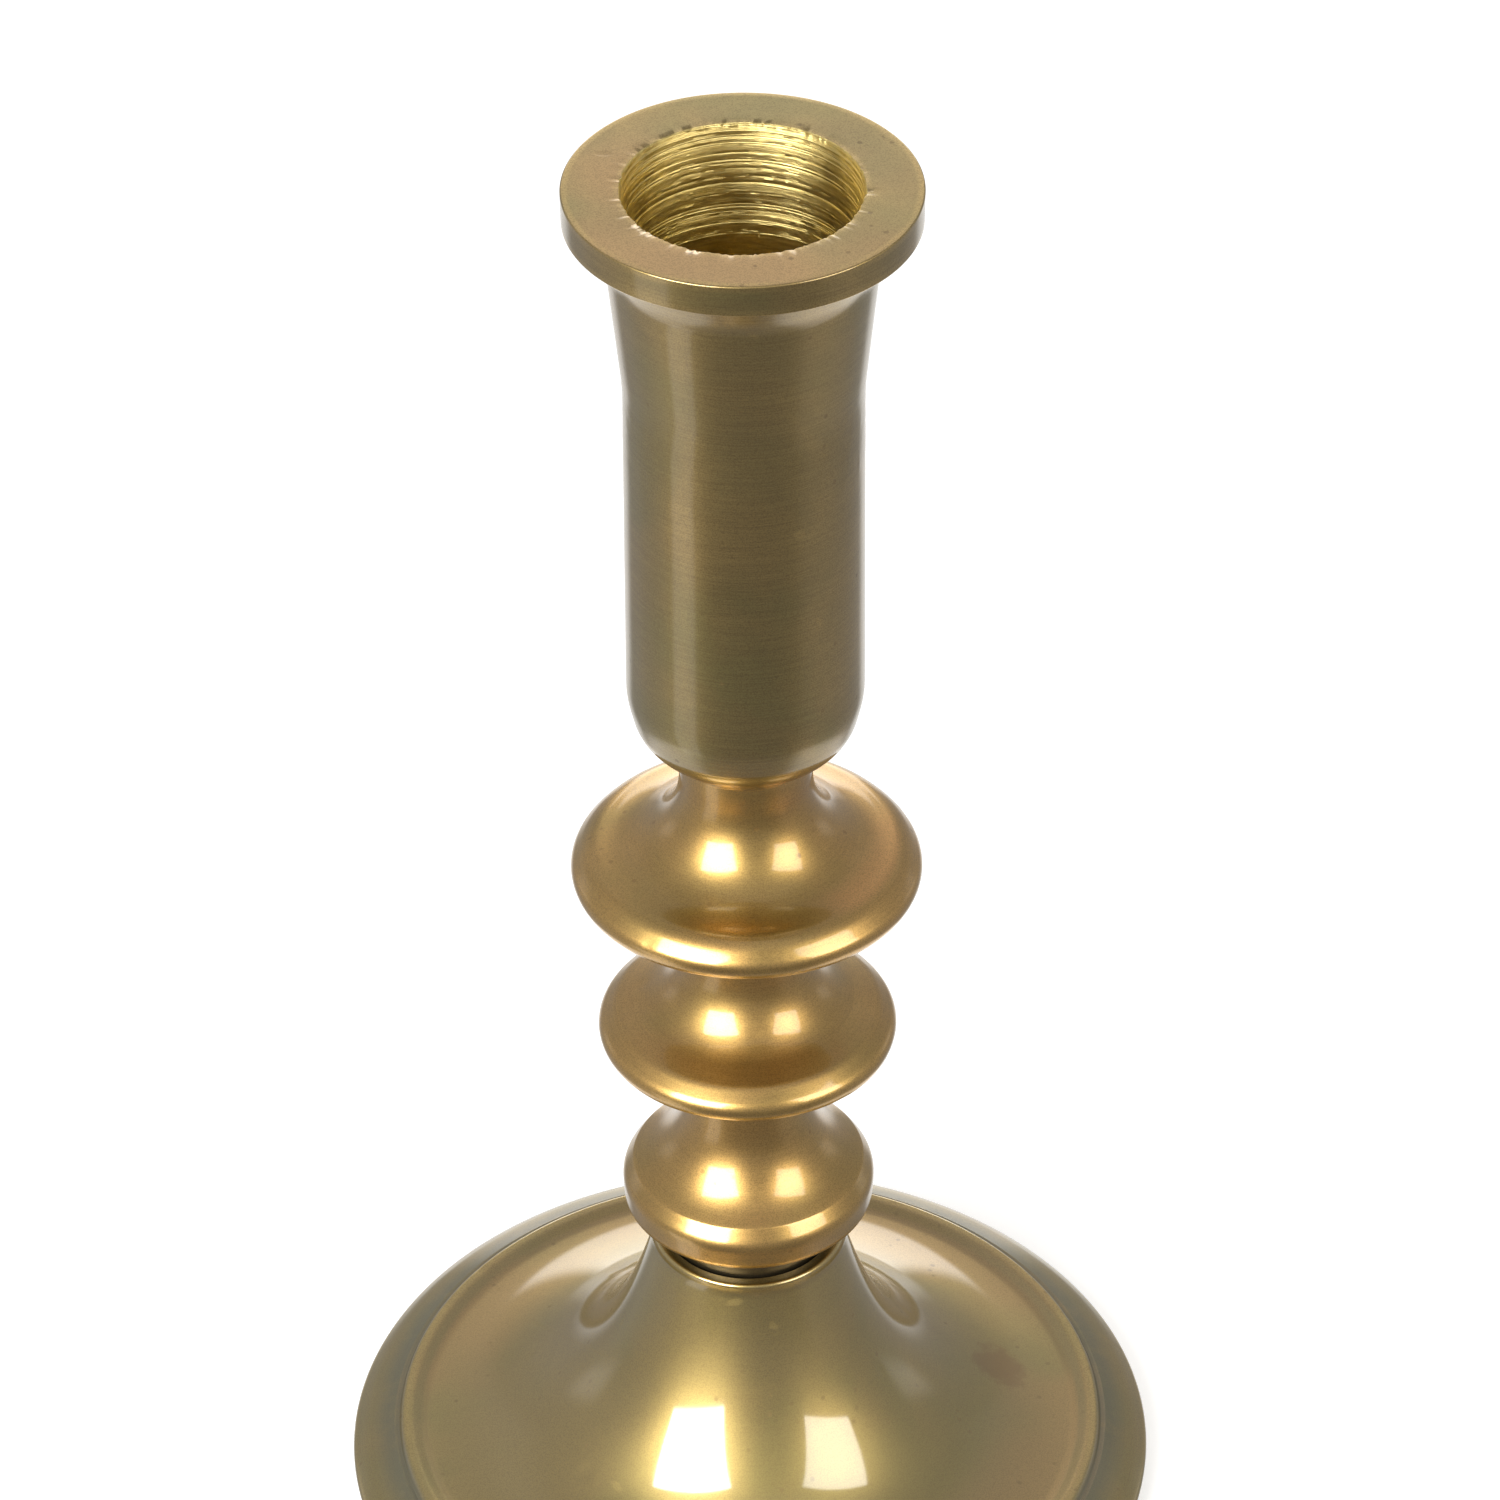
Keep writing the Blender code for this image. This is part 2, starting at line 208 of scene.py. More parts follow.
def place(piece, node, slot):
    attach(piece, "root")
    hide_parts(node)


def mesh_points(piece):
    """The piece's vertices and their normals as two arrays of rows."""
    count = len(piece.data.vertices)
    points = np.empty(count * 3)
    normals = np.empty(count * 3)
    piece.data.vertices.foreach_get("co", points)
    piece.data.vertex_normals.foreach_get("vector", normals)
    return points.reshape(-1, 3), normals.reshape(-1, 3)


def set_points(piece, points):
    piece.data.vertices.foreach_set("co", points.ravel())
    piece.data.update()


def hand_finish(piece, depth, size, seed):
    """The slight waviness that hand polishing leaves: noise along the normals, its depth and size in mm."""
    points, normals = mesh_points(piece)
    places = points / (size * MM) + np.array((7.3, 3.1, 5.7)) * seed
    waves = np.array([noise.noise(place) for place in places.tolist()])
    set_points(piece, points + normals * waves[:, None] * depth * MM)


def dents(piece, count, seed, low, radii=(0.7, 1.8), depths=(0.015, 0.05)):
    """Small dents from handling, pressed in at seeded places on the outside above the height low."""
    chance = random.Random(seed)
    points, normals = mesh_points(piece)
    outward = (points[:, :2] * normals[:, :2]).sum(axis=1) + 0.01 * normals[:, 2]
    outside = np.flatnonzero((points[:, 2] > low) & (outward > 0))
    for _ in range(count):
        centre = points[chance.choice(outside)]
        radius = chance.uniform(*radii) * MM
        depth = chance.uniform(*depths) * MM
        share = np.linalg.norm(points - centre, axis=1) / radius
        press = np.where(share < 1, depth * (1 - np.minimum(share, 1) ** 2) ** 2, 0)
        points -= normals * press[:, None]
    set_points(piece, points)


# ---------------------------------------------------------------- material graphs


class Graph:
    """A short way to write a node tree: add returns the new node, the other calls its output."""

    def __init__(self, tree):
        self.tree = tree

    def add(self, kind, inputs, **settings):
        made = self.tree.nodes.new("ShaderNode" + kind)
        for name, value in settings.items():
            setattr(made, name, value)
        for name, value in inputs.items():
            socket = made.inputs[name]
            if isinstance(value, bpy.types.NodeSocket):
                self.tree.links.new(value, socket)
            else:
                socket.default_value = value
        return made

    def math(self, operation, *values, clamp=False):
        inputs = dict(enumerate(values))
        return self.add("Math", inputs, operation=operation, use_clamp=clamp).outputs[0]

    def vector(self, operation, *values):
        inputs = dict(enumerate(values))
        made = self.add("VectorMath", inputs, operation=operation)
        return made.outputs["Value" if operation in ("LENGTH", "DOT_PRODUCT") else "Vector"]

    def field(self, name):
        return self.add("Attribute", {}, attribute_name=name).outputs["Fac"]

    def point(self):
        return self.add("TexCoord", {}).outputs["Object"]

    def noise(self, vector, scale, detail=3.0, roughness=0.55, distortion=0.0):
        inputs = {
            "Vector": vector,
            "Scale": scale,
            "Detail": detail,
            "Roughness": roughness,
            "Distortion": distortion,
        }
        return self.add("TexNoise", inputs).outputs["Fac"]

    def between(self, value, low, high, to_low=0.0, to_high=1.0):
        """value mapped smoothly from low..high to to_low..to_high, and held at both ends."""
        inputs = {
            "Value": value,
            "From Min": low,
            "From Max": high,
            "To Min": to_low,
            "To Max": to_high,
        }
        return self.add("MapRange", inputs, interpolation_type="SMOOTHSTEP").outputs["Result"]

    def mix(self, share, first, second):
        inputs = {0: share, 6: self.colour(first), 7: self.colour(second)}
        return self.add("Mix", inputs, data_type="RGBA").outputs[2]

    @staticmethod
    def colour(value):
        return value if isinstance(value, bpy.types.NodeSocket) else (*value, 1.0)

    def bump(self, height, distance, strength=1.0, normal=None):
        inputs = {"Height": height, "Distance": distance * MM, "Strength": strength}
        if normal is not None:
            inputs["Normal"] = normal
        return self.add("Bump", inputs).outputs["Normal"]


def new_material(name):
    material = bpy.data.materials.new(name)
    material.use_nodes = True
    return material, Graph(material.node_tree), material.node_tree.nodes["Principled BSDF"]


def connect(graph, shader, **sockets):
    """Links or sets sockets of the shader, named with underscores for spaces."""
    for name, value in sockets.items():
        socket = shader.inputs[name.replace("_", " ")]
        if isinstance(value, bpy.types.NodeSocket):
            graph.tree.links.new(value, socket)
        elif isinstance(value, tuple):
            socket.default_value = (*value, 1.0)
        else:
            socket.default_value = value


def around(graph, point, along, across):
    """Coordinates that run slowly round the axis and fast along the outline, for turning marks."""
    flat = graph.vector("MULTIPLY", point, (1.0, 1.0, 0.0))
    ring = graph.add(
        "VectorMath",
        {0: graph.vector("NORMALIZE", flat), "Scale": along},
        operation="SCALE",
    ).outputs["Vector"]
    parts = graph.add("SeparateXYZ", {"Vector": ring})
    track = graph.math("MULTIPLY", graph.field("track"), across)
    inputs = {"X": parts.outputs[0], "Y": parts.outputs[1], "Z": track}
    return graph.add("CombineXYZ", inputs).outputs[0]


def pits(graph, point, scale, share, size):
    """Scattered small pits: 1 inside a pit, 0 outside. A larger share puts one in more cells."""
    cells = graph.add("TexVoronoi", {"Vector": point, "Scale": scale}, feature="F1")
    chosen = graph.math("GREATER_THAN", cells.outputs["Color"], 1.0 - share)
    inside = graph.between(cells.outputs["Distance"], size, size * 0.4)
    return graph.math("MULTIPLY", chosen, inside)


def scratches(graph, point, angle, scale, length, share):
    """Fine straight scratches in one direction: 1 on a scratch, 0 elsewhere."""
    turned_once = graph.add("VectorRotate", {"Vector": point, "Angle": angle}, rotation_type="X_AXIS")
    second = {"Vector": turned_once.outputs[0], "Angle": angle * 1.7}
    turned_twice = graph.add("VectorRotate", second, rotation_type="Y_AXIS")
    stretched = graph.vector("MULTIPLY", turned_twice.outputs[0], (scale, scale, scale / length))
    value = graph.noise(stretched, 1.0, detail=1.0)
    return graph.between(value, 1.0 - share, 1.0 - share + 0.05)


# How a piece of antique brass is finished: its colours when rubbed bright, dulled and browned, its
# roughness under the lacquer, how strongly its turning marks show, how much haze dulls it, and the
# roughness and the refractive index of the clear lacquer over it
Finish = namedtuple("Finish", "bright dull brown roughness marks haze lacquer index")
SOCKET_FINISH = Finish(
    bright=(0.49, 0.345, 0.125), dull=(0.345, 0.26, 0.097), brown=(0.17, 0.105, 0.04),
    roughness=0.31, marks=1.0, haze=0.85, lacquer=0.06, index=1.62,
)
STEM_FINISH = Finish(
    bright=(0.68, 0.42, 0.13), dull=(0.52, 0.32, 0.10), brown=(0.25, 0.14, 0.045),
    roughness=0.30, marks=0.6, haze=0.6, lacquer=0.06, index=1.58,
)
FOOT_FINISH = Finish(
    bright=(0.47, 0.345, 0.108), dull=(0.385, 0.28, 0.09), brown=(0.24, 0.16, 0.06),
    roughness=0.34, marks=0.35, haze=0.5, lacquer=0.05, index=2.0,
)
TARNISHED_FINISH = Finish(
    bright=(0.13, 0.10, 0.05), dull=(0.09, 0.07, 0.035), brown=(0.04, 0.03, 0.015),
    roughness=0.45, marks=0.5, haze=0.7, lacquer=0.35, index=1.5,
)


def antique_brass(name, finish, deposits=()):
    """Brass darkened by age under clear lacquer, rubbed on its edges, with turning marks and wear.

    Each of the deposits is a function of the graph and the point that returns its share, its colour
    and the roughness that it adds."""
    material, graph, shader = new_material(name)
    point = graph.point()
    facing = graph.add("TexCoord", {}).outputs["Normal"]
    upward = graph.add("SeparateXYZ", {"Vector": facing}).outputs[2]
    marks = graph.between(upward, 0.90, 0.995, finish.marks, 0.12 * finish.marks)
    rings = around(graph, point, 1.6, 9.0)
    fine_rings = around(graph, point, 3.0, 34.0)
    ring_mark = graph.noise(rings, 1.0, detail=4.0, roughness=0.7)
    fine_mark = graph.noise(fine_rings, 1.0, detail=2.0)
    rub = graph.noise(around(graph, point, 9.0, 26.0), 1.0, detail=2.0, roughness=0.6)
    blotch = graph.noise(point, 95.0, detail=4.0, roughness=0.6, distortion=0.6)
    cloud = graph.noise(point, 34.0, detail=2.0)
    tint = graph.noise(point, 58.0, detail=3.0, distortion=0.4)
    grain = graph.noise(point, 2600.0, detail=2.0)
    fine_grain = graph.noise(point, 7500.0, detail=1.0)
    speck = pits(graph, point, 900.0, 0.16, 0.32)
    pit = pits(graph, point, 260.0, 0.05, 0.16)
    scratch = graph.math(
        "MAXIMUM",
        scratches(graph, point, 0.55, 420.0, 14.0, 0.255),
        scratches(graph, point, 2.1, 300.0, 18.0, 0.25),
    )
    rubbed = graph.math("MULTIPLY", graph.between(rub, 0.66, 0.74), graph.between(tint, 0.45, 0.62))
    edge = graph.between(graph.field("worn"), 0.10, 0.75)
    worn = graph.math("MULTIPLY", edge, graph.between(blotch, 0.30, 0.62, 0.45, 1.0))
    hollow = graph.between(graph.field("hollow"), 0.03, 0.5)
    tarnish = graph.math("MULTIPLY_ADD", blotch, 0.55, graph.math("MULTIPLY", cloud, 0.45))
    tarnish = graph.between(tarnish, 0.38, 0.62)

    colour = graph.mix(graph.math("MULTIPLY", tarnish, finish.haze), finish.bright, finish.dull)
    green = tuple(c * f for c, f in zip(finish.dull, (0.86, 1.02, 0.95)))
    colour = graph.mix(graph.between(tint, 0.42, 0.66, 0.0, 0.55), colour, green)
    lined = graph.between(ring_mark, 0.35, 0.7, 0.0, 0.35)
    colour = graph.mix(graph.math("MULTIPLY", lined, marks), colour, finish.brown)
    colour = graph.mix(graph.math("MULTIPLY", hollow, 0.4), colour, finish.brown)
    pink = tuple(c * f for c, f in zip(finish.bright, (1.06, 0.92, 1.0)))
    level = graph.between(upward, 0.90, 0.995)
    flush = graph.math("MULTIPLY", level, graph.between(cloud, 0.46, 0.60, 0.0, 0.8))
    colour = graph.mix(flush, colour, pink)
    rubbed_bright = tuple(min(1.0, c * 1.3) for c in finish.bright)
    colour = graph.mix(graph.math("MULTIPLY", worn, 0.6), colour, rubbed_bright)
    rubbed_lines = graph.math("MULTIPLY", graph.math("MULTIPLY", rubbed, 0.5), marks)
    colour = graph.mix(rubbed_lines, colour, rubbed_bright)
    colour = graph.mix(graph.between(fine_grain, 0.40, 0.68, 0.0, 0.42), colour, finish.brown)
    colour = graph.mix(graph.math("MULTIPLY", speck, 0.45), colour, finish.brown)
    pit_colour = tuple(c * 0.45 for c in finish.brown)
    colour = graph.mix(graph.math("MULTIPLY", pit, 0.7), colour, pit_colour)

    rough = graph.math("MULTIPLY_ADD", tarnish, 0.06, finish.roughness)
    lines = graph.math("MULTIPLY", graph.between(fine_mark, 0.35, 0.7), marks)
    rough = graph.math("MULTIPLY_ADD", lines, 0.05, rough)
    rough = graph.math("MULTIPLY_ADD", grain, 0.03, rough)
    rough = graph.math("MULTIPLY_ADD", hollow, 0.10, rough)
    rough = graph.math("MULTIPLY_ADD", worn, -0.07, rough)
    rough = graph.math("MULTIPLY_ADD", speck, 0.12, rough)
    for deposit in deposits:
        share, deposit_colour, added = deposit(graph, point)
        colour = graph.mix(share, colour, deposit_colour)
        rough = graph.math("MULTIPLY_ADD", share, added, rough)
    rough = graph.math("MULTIPLY_ADD", scratch, 0.10, rough, clamp=True)

    height = graph.math("MULTIPLY_ADD", ring_mark, 0.5, graph.math("MULTIPLY", fine_mark, 0.22))
    height = graph.math("MULTIPLY", height, marks)
    height = graph.math("MULTIPLY_ADD", grain, 0.10, height)
    height = graph.math("MULTIPLY_ADD", fine_grain, 0.05, height)
    height = graph.math("MULTIPLY_ADD", speck, -0.35, height)
    height = graph.math("MULTIPLY_ADD", pit, -2.2, height)
    height = graph.math("MULTIPLY_ADD", scratch, -0.5, height)
    lacquer_height = graph.math("MULTIPLY_ADD", pit, -2.0, graph.math("MULTIPLY", scratch, -0.35))
    lacquer_rings = graph.math("MULTIPLY", ring_mark, marks)
    lacquer_height = graph.math("MULTIPLY_ADD", lacquer_rings, 0.10, lacquer_height)
    connect(
        graph, shader,
        Base_Color=colour, Roughness=rough, Normal=graph.bump(height, 0.012), Metallic=1.0,
        Coat_Weight=1.0, Coat_IOR=finish.index, Coat_Normal=graph.bump(lacquer_height, 0.010),
        Coat_Roughness=graph.math("MULTIPLY_ADD", blotch, 0.05, finish.lacquer),
    )
    return material


PATINA_COLOUR = (0.115, 0.135, 0.105)


def groove_patina(graph, point):
    """Grey-green patina lying in the foot's groove, thinning out over the band towards the rim."""
    radius = graph.vector("LENGTH", graph.vector("MULTIPLY", point, (1 / MM, 1 / MM, 0.0)))
    radius = graph.math("MULTIPLY_ADD", graph.noise(point, 120.0, detail=3.0), 0.7, radius)
    deep = graph.math(
        "MULTIPLY",
        graph.between(radius, 37.1, 37.6),
        graph.between(radius, 39.4, 38.2, 0.0, 0.55),
    )
    veil = graph.math(
        "MULTIPLY",
        graph.between(radius, 37.0, 37.7),
        graph.between(radius, 41.2, 38.4, 0.0, 0.60),
    )
    ragged = graph.between(graph.noise(point, 300.0, detail=4.0), 0.2, 0.55, 0.65, 1.0)
    share = graph.math("MULTIPLY", graph.math("MAXIMUM", deep, veil), ragged)
    return share, PATINA_COLOUR, 0.22


STAIN_PLACE = (0.0263, 0.0050, 0.0071)
STAIN_COLOUR = (0.27, 0.15, 0.045)


def brown_stain(graph, point):
    """One reddish brown stain on the dish of the foot, and a few small brown spots elsewhere on it."""
    offset = graph.vector("SUBTRACT", point, STAIN_PLACE)
    distance = graph.vector("LENGTH", graph.vector("MULTIPLY", offset, (1, 1, 2)))
    edge = graph.noise(point, 330.0, detail=4.0, roughness=0.65)
    ragged = graph.math("MULTIPLY_ADD", edge, 5.5 * MM, distance)
    patch = graph.between(ragged, 6.4 * MM, 4.8 * MM, 0.0, 0.6)
    spots = graph.math("MULTIPLY", pits(graph, point, 130.0, 0.07, 0.20), 0.6)
    return graph.math("MAXIMUM", patch, spots), STAIN_COLOUR, 0.08


def raw_brass():
    """Bare yellow brass as the boring tool left it: bright, ringed and a little smeared."""
    material, graph, shader = new_material("raw_bored_brass")
    point = graph.point()
    ring = graph.noise(around(graph, point, 1.2, 17.0), 1.0, detail=4.0, roughness=0.7)
    smear = graph.noise(around(graph, point, 5.0, 3.2), 1.0, detail=5.0, roughness=0.7)
    stain = graph.noise(point, 160.0, detail=3.0)
    colour = graph.mix(graph.between(smear, 0.35, 0.7), (0.84, 0.68, 0.28), (0.57, 0.45, 0.17))
    colour = graph.mix(graph.between(stain, 0.52, 0.75, 0.0, 0.6), colour, (0.24, 0.17, 0.06))
    rough = graph.math("MULTIPLY_ADD", smear, 0.28, 0.20)
    height = graph.math("MULTIPLY_ADD", smear, 0.3, ring)
    bumps = graph.bump(height, 0.035)
    connect(graph, shader, Base_Color=colour, Roughness=rough, Normal=bumps, Metallic=1.0)
    return material


def zinc_steel():
    """Zinc plated steel: cool grey with a faint yellow cast, blotched plating and a few rust freckles."""
    material, graph, shader = new_material("zinc_plated_steel")
    point = graph.point()
    plating = graph.noise(point, 420.0, detail=4.0, roughness=0.6)
    cast = graph.noise(point, 140.0, detail=2.0)
    freckle = pits(graph, point, 700.0, 0.06, 0.3)
    scratch = scratches(graph, point, 0.9, 700.0, 10.0, 0.26)
    colour = graph.mix(graph.between(plating, 0.35, 0.68), (0.60, 0.60, 0.58), (0.44, 0.44, 0.42))
    colour = graph.mix(graph.between(cast, 0.45, 0.7, 0.0, 0.5), colour, (0.55, 0.50, 0.36))
    colour = graph.mix(graph.math("MULTIPLY", freckle, 0.8), colour, (0.20, 0.09, 0.04))
    rough = graph.math("MULTIPLY_ADD", plating, 0.2, 0.28)
    rough = graph.math("MULTIPLY_ADD", freckle, 0.3, rough)
    height = graph.math("MULTIPLY_ADD", scratch, -1.0, plating)
    bumps = graph.bump(height, 0.015)
    connect(graph, shader, Base_Color=colour, Roughness=rough, Normal=bumps, Metallic=1.0)
    return material


def wool_felt():
    """Dark green pressed wool: matted fibres of slightly different greens, soft and without gloss."""
    material, graph, shader = new_material("dark_green_felt")
    point = graph.point()
    strands = graph.noise(point, 1400.0, detail=5.0, roughness=0.75, distortion=2.5)
    matted = graph.noise(point, 260.0, detail=4.0, roughness=0.6, distortion=1.0)
    lint = graph.between(graph.noise(point, 2300.0, detail=1.0, distortion=3.0), 0.66, 0.72)
    colour = graph.mix(graph.between(strands, 0.3, 0.7), (0.012, 0.045, 0.025), (0.035, 0.095, 0.055))
    colour = graph.mix(graph.between(matted, 0.4, 0.7, 0.0, 0.5), colour, (0.015, 0.04, 0.03))
    colour = graph.mix(graph.math("MULTIPLY", lint, 0.35), colour, (0.25, 0.28, 0.24))
    rough = graph.between(matted, 0.2, 0.8, 0.86, 0.98)
    height = graph.math("MULTIPLY_ADD", strands, 0.7, matted)
    connect(
        graph, shader,
        Base_Color=colour, Roughness=rough, Normal=graph.bump(height, 0.12),
        Sheen_Weight=0.35, Sheen_Roughness=0.5,
    )
    return material


# ---------------------------------------------------------------- the pieces

# Each knop's outline, from the underside of its collar up, and the piece that sits on it
KNOPS = {
    "upper_knop": {
        "seat_above": "candle_socket",
        "neck": (6.65, 11.4, 8.5),
        "crease": (15.85, 10.38, 3.2),
        "edge": (17.95, 7.95, 1.7),
        "edge_underside": (17.2, 6.7, 0.5),
        "collar_radius": 8.0,
    },
    "middle_knop": {
        "seat_above": "upper_knop",
        "neck": (6.75, 10.25, 7.1),
        "crease": (13.5, 7.4, 2.6),
        "edge": (15.35, 5.75, 1.6),
        "edge_underside": (14.95, 4.4, 0.5),
        "collar_radius": 7.45,
    },
    "ball_knop": {
        "seat_above": "middle_knop",
        "neck": (6.75, 11.15, 9.2),
        "crease": (11.9, 7.75, 0.6),
        "edge": (13.0, 6.1, 2.2),
        "edge_underside": (12.85, 3.3, 0.9),
        "collar_radius": 8.9,
    },
}
# Radii, and the radius and height of the joints between the pieces of the stem
ROD_HOLE = 3.4
SPIGOT = (5.0, 1.2)
RECESS = (5.3, 1.5)
BALL_SPIGOT = (8.45, 2.95)


def knop(name, material, tarnished):
    """One knop with its neck: bright outside, tarnished on the faces that its neighbours hide."""
    shape = KNOPS[name]
    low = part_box(name)[0]
    floor = low.z + BALL_SPIGOT[1] * MM if name == "ball_knop" else low.z
    seat_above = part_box(shape["seat_above"])[0].z
    top = (seat_above - floor) / MM - SEAM
    if name == "ball_knop":
        joint = [(BALL_SPIGOT[0], 0, 0.1), (BALL_SPIGOT[0], -BALL_SPIGOT[1]), (ROD_HOLE, -BALL_SPIGOT[1])]
    else:
        joint = [(RECESS[0], 0), (RECESS[0], RECESS[1]), (ROD_HOLE, RECESS[1])]
    points = [
        (shape["collar_radius"], 0, 0.15),
        *joint,
        (ROD_HOLE, top + SPIGOT[1]),
        (SPIGOT[0], top + SPIGOT[1]),
        (SPIGOT[0], top),
        (shape["neck"][0], top),
        shape["neck"],
        shape["crease"],
        shape["edge"],
        shape["edge_underside"],
    ]
    piece = turned("turned_" + name, points, floor, [material, tarnished])
    for face in piece.data.polygons:
        if face.center.z < floor + 0.02 * MM or math.hypot(face.center.x, face.center.y) < SPIGOT[0] * MM:
            face.material_index = 1
    seed = len(name)
    hand_finish(piece, 0.035, 9.0, seed)
    dents(piece, 7, seed, low.z)
    shade(piece)
    place(piece, name, "stem_brass")
    return piece


def bored_rings(start, end, seed, pitches, depths):
    """The wall of the bore from (radius, height) start down to end, with uneven rings cut by the tool."""
    chance = random.Random(seed)
    points = []
    height = start[1]
    while height > end[1] + pitches[1]:
        pitch = chance.uniform(*pitches)
        share = (start[1] - height) / (start[1] - end[1])
        radius = start[0] + (end[0] - start[0]) * share
        points.append((radius, height))
        points.append((radius + chance.uniform(*depths), height - pitch * chance.uniform(0.3, 0.65)))
        height -= pitch
    points.append(end)
    return points


SOCKET_BORE_MOUTH = (11.43, 64.8)
SOCKET_BORE_SEAT = (10.3, 52.8)
SOCKET_BORE_FLOOR = (10.0, 34.8)
SOCKET_ROD_HOLE = (3.3, 17.5)
MOUTH_CHAMFER = 0.1


def socket_outline():
    """Flange, flare, cup, the recess and rod hole under it, and the ringed bore."""
    top = SOCKET_BORE_MOUTH[1]
    start = (SOCKET_BORE_MOUTH[0], top - MOUTH_CHAMFER)
    bore = bored_rings(start, SOCKET_BORE_SEAT, 3, (0.12, 0.36), (0.01, 0.05))
    bore += bored_rings(SOCKET_BORE_SEAT, SOCKET_BORE_FLOOR, 4, (0.5, 1.1), (0.02, 0.06))[1:]
    return [
        (SOCKET_BORE_MOUTH[0] + MOUTH_CHAMFER, top),
        (17.0, top, 0.17),
        (16.95, 61.5, 0.2),
        (14.8, 61.5, 0.25),
        (13.0, 57.3, 5.0),
        (11.55, 42.9, 30.0),
        (11.7, 7.2, 10.0),
        (10.8, 3.3, 5.0),
        (7.3, 0),
        (RECESS[0], 0),
        RECESS,
        (SOCKET_ROD_HOLE[0], RECESS[1]),
        SOCKET_ROD_HOLE,
        (0, SOCKET_ROD_HOLE[1]),
        (0, SOCKET_BORE_FLOOR[1]),
        *reversed(bore),
    ]


def nick_mouth(piece, top):
    """Nicks and raised burrs round the mouth of the bore, from candles and scrapers."""
    near = 0.9 * MM
    mouth = SOCKET_BORE_MOUTH[0] * MM
    points, _ = mesh_points(piece)
    radii = np.linalg.norm(points[:, :2], axis=1)
    for index in np.flatnonzero((points[:, 2] > top - near) & (radii < mouth + near)):
        direction = Vector((*points[index, :2], 0)) / radii[index]
        rough = noise.noise(direction * 9.0)
        ragged = noise.noise(direction * 38.0 + Vector((3, 1, 2)))
        torn = noise.noise(direction * 80.0 + Vector((6, 4, 1)))
        nick = max(0.0, rough - 0.1) * 0.15 + max(0.0, ragged - 0.05) * 0.22 + max(0.0, torn) * 0.18
        fade = max(0.0, 1 - abs(radii[index] - mouth) / near) * max(0.0, 1 - (top - points[index, 2]) / near)
        burr = max(0.0, -ragged - 0.1) * 0.2
        points[index] += np.array(direction) * (nick * 0.8 - burr) * fade * MM
        points[index, 2] -= nick * fade * MM * 0.5
    set_points(piece, points)


def tear_bore(piece, low, high):
    """Waves and tears in the bore's rings, where the tool chattered and candles scraped."""
    points, normals = mesh_points(piece)
    radii = np.linalg.norm(points[:, :2], axis=1)
    inside = (radii < (SOCKET_BORE_MOUTH[0] + 0.2) * MM) & (points[:, 2] > low) & (points[:, 2] < high)
    for index in np.flatnonzero(inside):
        x, y, z = points[index] / MM
        wave = noise.noise(Vector((x * 0.35, y * 0.35, z * 2.2)))
        tear = noise.noise(Vector((x * 0.9 + 5, y * 0.9, z * 5.0)))
        points[index] += normals[index] * (wave * 0.02 + max(0.0, tear - 0.15) * 0.045) * MM
    set_points(piece, points)


def candle_socket(material, raw):
    """The socket: antiqued outside, with a bare bore that is torn by the tool and nicked at its mouth."""
    low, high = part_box("candle_socket")
    piece = turned("turned_candle_socket", socket_outline(), low.z, [material, raw], segments=320)
    bore_limit = (SOCKET_BORE_MOUTH[0] + 0.35) * MM
    bore_floor = low.z + (SOCKET_BORE_FLOOR[1] - 0.5) * MM
    for face in piece.data.polygons:
        radius = math.hypot(face.center.x, face.center.y)
        inward = face.normal.x * face.center.x + face.normal.y * face.center.y < 0
        on_floor = radius < SOCKET_BORE_FLOOR[0] * MM
        if face.center.z > bore_floor and radius < bore_limit and (inward or on_floor):
            face.material_index = 1
    hand_finish(piece, 0.03, 11.0, 2)
    tear_bore(piece, bore_floor, high.z - 0.1 * MM)
    nick_mouth(piece, high.z)
    shade(piece)
    place(piece, "candle_socket", "socket_brass")
    return piece


FOOT_NECK = (10.0, 30.45)
FOOT_RECESS = (8.75, 28.85)
FOOT_TRUMPET_TOP = (10.0, 29.25)
FOOT_TRUMPET_LEAN = math.radians(14.5)
FOOT_TRUMPET_PULL = 14.0
FOOT_DISH = (34.5, 4.35)
FOOT_DISH_SLOPE = math.radians(3)
FOOT_DISH_PULL = 15.3
FOOT_WALL = 2.4
FOOT_WEB = (10.0, 20.85)
FOOT_LAND = (33.6, 1.95)
FOOT_CURVE_POINTS = 70
UNDER_FOOT = 30.0  # mm below the foot, where a point lies that its hollow's faces look towards


def foot_curve():
    top = Vector(FOOT_TRUMPET_TOP)
    end = Vector(FOOT_DISH)
    top_pull = Vector((math.sin(FOOT_TRUMPET_LEAN), -math.cos(FOOT_TRUMPET_LEAN))) * FOOT_TRUMPET_PULL
    end_pull = Vector((-math.cos(FOOT_DISH_SLOPE), math.sin(FOOT_DISH_SLOPE))) * FOOT_DISH_PULL
    return interpolate_bezier(top, top + top_pull, end + end_pull, end, FOOT_CURVE_POINTS)


def foot_hollow():
    """The inner curve of the foot: its outer curve moved in by the wall, from the land up to the web."""
    outer = [Vector(point[:2]) for point in foot_curve()]
    inner = []
    for before, point, after in zip(outer, outer[1:], outer[2:]):
        along = (after - before).normalized()
        inset = point + Vector((along.y, -along.x)) * FOOT_WALL
        if FOOT_WEB[0] < inset.x < FOOT_LAND[0] and inset.y < FOOT_WEB[1]:
            inner.append(tuple(inset))
    return inner[::-1]


